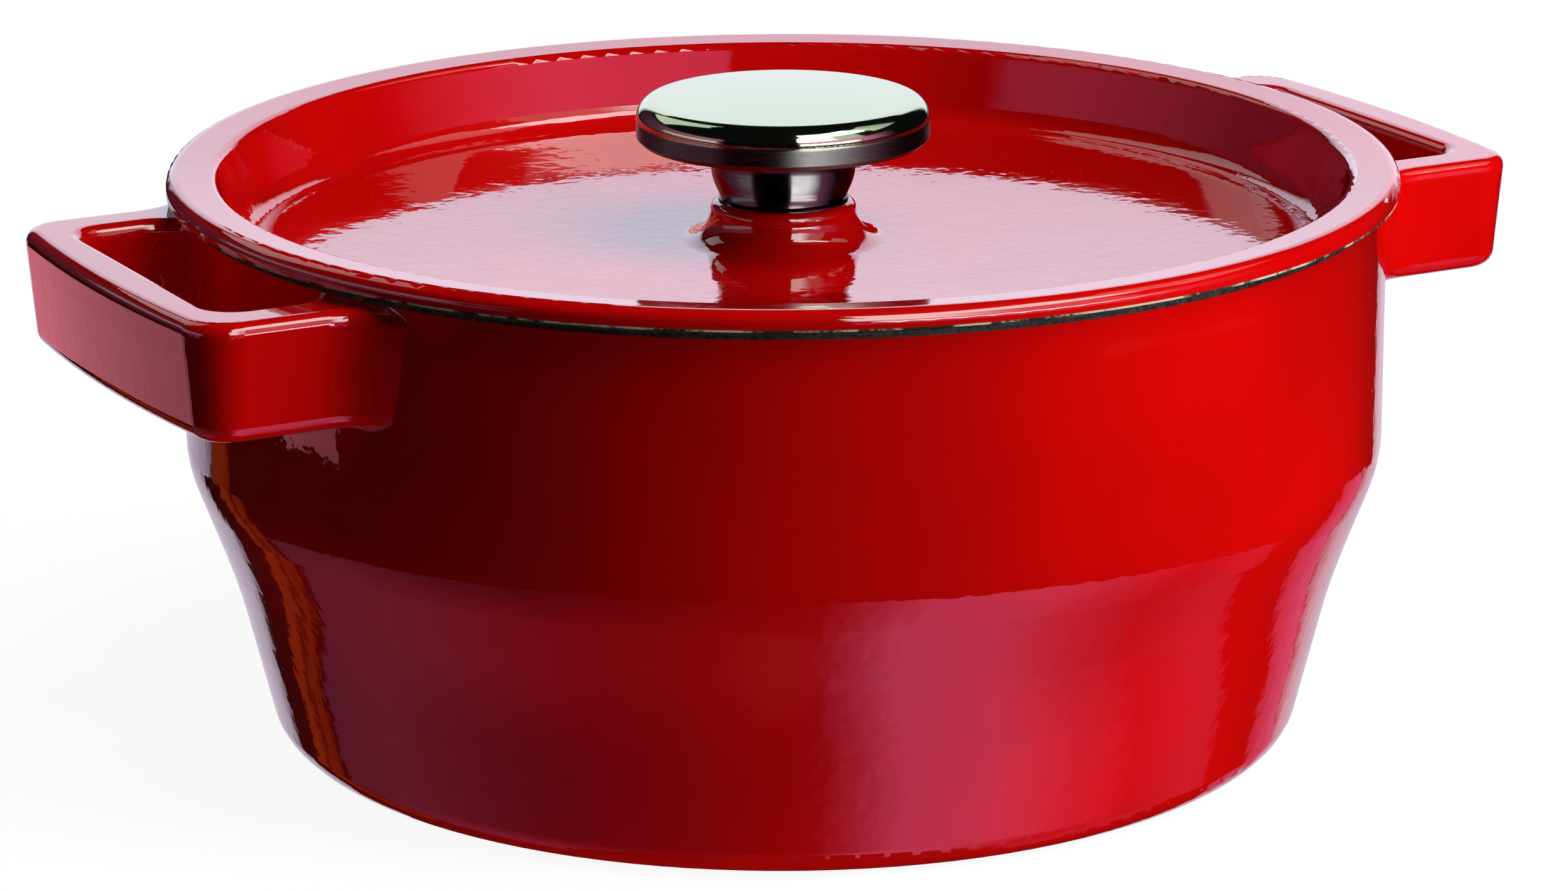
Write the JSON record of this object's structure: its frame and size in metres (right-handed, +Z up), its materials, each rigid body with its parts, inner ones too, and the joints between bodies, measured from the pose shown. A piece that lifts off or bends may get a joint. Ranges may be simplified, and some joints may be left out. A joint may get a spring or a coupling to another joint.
{
  "type": "dutch oven",
  "caption": "Enamelled cast iron dutch oven: a round pot with loop handles at its rim, and a lid with a deep flat recess and a steel knob.",
  "frame": {"origin": "centre of the pot's flat base, on the surface it stands on", "axes": "+Z up along the pot's axis, +X along the line through the two handles"},
  "size_m": [0.2926, 0.2426, 0.127],
  "materials": {
    "cast_iron": "matte",
    "red_enamel": "gloss",
    "cream_enamel": "gloss",
    "polished_steel": "polished",
    "plain_steel": "satin"
  },
  "bodies": {
    "pot": {"pot_casting": "cast_iron", "pot_outer_enamel": "red_enamel", "pot_inner_enamel": "cream_enamel"},
    "lid": {"lid_casting": "cast_iron", "lid_outer_enamel": "red_enamel", "lid_inner_enamel": "cream_enamel", "knob_cap": "polished_steel", "knob_collar": "polished_steel", "knob_insert": "plain_steel", "knob_screw": "plain_steel", "flat_washer": "plain_steel", "spring_washer": "plain_steel"}
  },
  "joints": [
    {"name": "lid_lift", "type": "slide", "parent": "pot", "child": "lid", "axis": [0, 0, 1], "range_m": [0, 0.12]}
  ]
}
